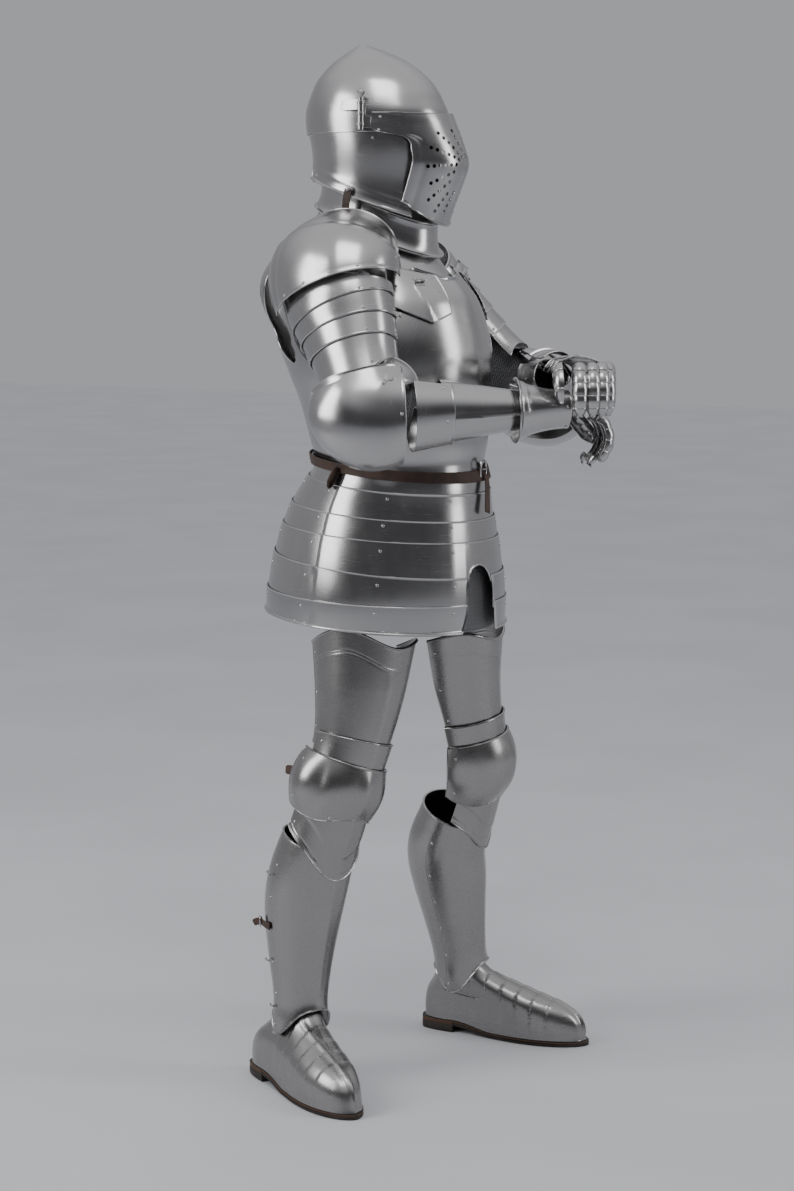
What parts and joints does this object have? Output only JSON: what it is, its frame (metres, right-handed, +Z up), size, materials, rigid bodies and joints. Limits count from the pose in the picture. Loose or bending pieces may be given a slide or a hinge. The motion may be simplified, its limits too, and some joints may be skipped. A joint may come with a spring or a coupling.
{
  "type": "suit of plate armour",
  "caption": "Worn late medieval harness in polished steel: closed helmet with pointed lifting visor, gorget, cuirass and long belted fauld, mail, laminated arms, gauntlets, greaves and sabatons",
  "frame": {"origin": "between the shoulder blades at the level where the wearer's shoulders carry the harness, 1460 mm above the floor the soles stand on", "axes": "+Z up, -Y the way the wearer's chest faces, +X the wearer's left"},
  "size_m": [0.726, 0.7087, 1.8913],
  "materials": {
    "steel": "satin-polished bare steel",
    "mail": "darkened steel rings",
    "leather": "oiled dark brown leather",
    "sole_leather": "worn dark sole leather"
  },
  "bodies": {
    "harness": {"breastplate": "steel", "backplate": "steel", "gorget_collar": "steel", "gorget_yoke": "steel", "fauld_lame_1": "steel", "fauld_lame_2": "steel", "fauld_lame_3": "steel", "fauld_lame_4": "steel", "fauld_lame_5": "steel", "fauld_lame_6": "steel", "mail_skirt": "mail", "belt": "leather", "skull_bowl": "steel", "skull_wall": "steel", "pauldron_right": "steel", "pauldron_wing_right": "steel", "pauldron_front_right": "steel", "arm_lame_1_right": "steel", "arm_lame_2_right": "steel", "arm_lame_3_right": "steel", "rerebrace_right": "steel", "couter_right": "steel", "elbow_lame_right": "steel", "vambrace_right": "steel", "cuff_right": "steel", "mail_sleeve_right": "mail", "hand_right": "steel", "fingers_right": "steel", "cuisse_right": "steel", "knee_lame_right": "steel", "poleyn_right": "steel", "shin_lame_right": "steel", "greave_front_right": "steel", "greave_back_right": "steel", "sabaton_right": "steel", "sole_right": "sole_leather", "pauldron_left": "steel", "pauldron_wing_left": "steel", "pauldron_front_left": "steel", "arm_lame_1_left": "steel", "arm_lame_2_left": "steel", "arm_lame_3_left": "steel", "rerebrace_left": "steel", "couter_left": "steel", "elbow_lame_left": "steel", "vambrace_left": "steel", "cuff_left": "steel", "mail_sleeve_left": "mail", "hand_left": "steel", "fingers_left": "steel", "cuisse_left": "steel", "knee_lame_left": "steel", "poleyn_left": "steel", "shin_lame_left": "steel", "greave_front_left": "steel", "greave_back_left": "steel", "sabaton_left": "steel", "sole_left": "sole_leather"},
    "visor": {"visor": "steel"}
  },
  "joints": [
    {"name": "visor_lift", "type": "hinge", "parent": "harness", "child": "visor", "pos_m": [0.0057, -0.0305, 0.292], "axis": [-0.9848, -0.1736, 0], "range_deg": [0, 60]}
  ]
}
